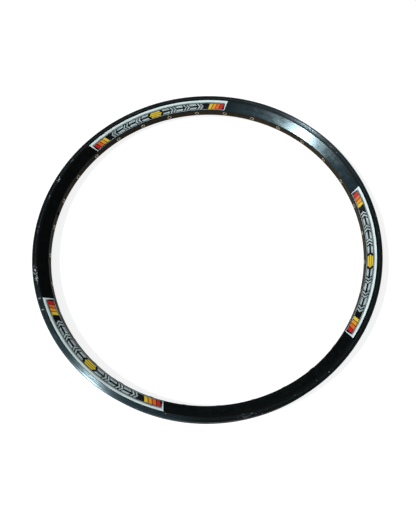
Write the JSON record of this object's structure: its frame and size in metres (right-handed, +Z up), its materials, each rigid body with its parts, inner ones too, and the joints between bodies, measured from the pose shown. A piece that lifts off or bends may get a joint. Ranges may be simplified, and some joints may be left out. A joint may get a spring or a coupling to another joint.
{
  "type": "bicycle rim",
  "caption": "Bare double-wall bicycle rim with hooked flanges, V-shaped side walls, eyeletted spoke holes, a valve hole and printed films on the upper side wall.",
  "frame": {"origin": "on the axle line, on the surface that the lower flange lies on", "axes": "+Z up along the axle line, -X through the valve hole"},
  "size_m": [0.5715, 0.5714, 0.033],
  "materials": {
    "black_alloy": "gloss black, with a satin brushed side band",
    "eyelet_metal": "dull plated",
    "printed_film": "gloss film, printed"
  },
  "bodies": {
    "root": {"rim": "black_alloy", "spoke_eyelets": "eyelet_metal", "side_decals": "printed_film"}
  },
  "joints": []
}
